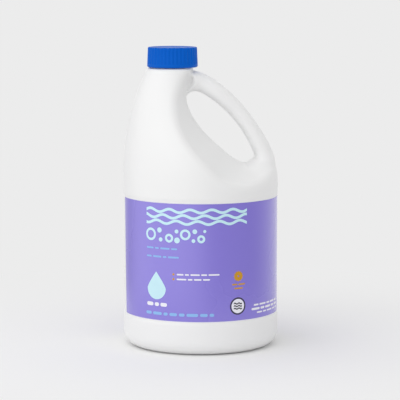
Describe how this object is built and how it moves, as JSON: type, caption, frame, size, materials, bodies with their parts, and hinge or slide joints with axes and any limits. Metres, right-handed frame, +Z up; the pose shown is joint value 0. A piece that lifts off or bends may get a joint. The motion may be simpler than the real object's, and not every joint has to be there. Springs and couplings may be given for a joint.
{
  "type": "bleach bottle",
  "caption": "Round white blow-moulded jug with an integral grip handle over a slanted finger hole, a wrapped label and a ribbed screw cap set off centre.",
  "frame": {"origin": "centre of the round base, on the surface that the bottle stands on", "axes": "+Z up, +X towards the handle, -Y out of the front of the label, so the bottle is symmetric about the XZ plane"},
  "size_m": [0.1351, 0.135, 0.2597],
  "materials": {
    "bottle_plastic": "satin",
    "label_film": "satin",
    "cap_plastic": "satin",
    "liner_foam": "matte",
    "bleach_liquid": "clear"
  },
  "bodies": {
    "bottle": {"bottle": "bottle_plastic", "shoulder": "bottle_plastic", "handle": "bottle_plastic", "neck": "bottle_plastic", "label": "label_film", "bleach": "bleach_liquid"},
    "liner": {"liner": "liner_foam"},
    "cap": {"cap": "cap_plastic"}
  },
  "joints": [
    {"name": "cap_lift", "type": "slide", "parent": "bottle", "child": "liner", "axis": [0, 0, 1], "range_m": [0, 0.017]},
    {"name": "cap_turn", "type": "hinge", "parent": "liner", "child": "cap", "pos_m": [-0.0243, 0, 0.25], "axis": [0, 0, 1], "range_deg": [0, 1440]}
  ],
  "couplings": [
    {"joint": "cap_lift", "follows": "cap_turn", "m_per_rad": 0.0006737}
  ]
}
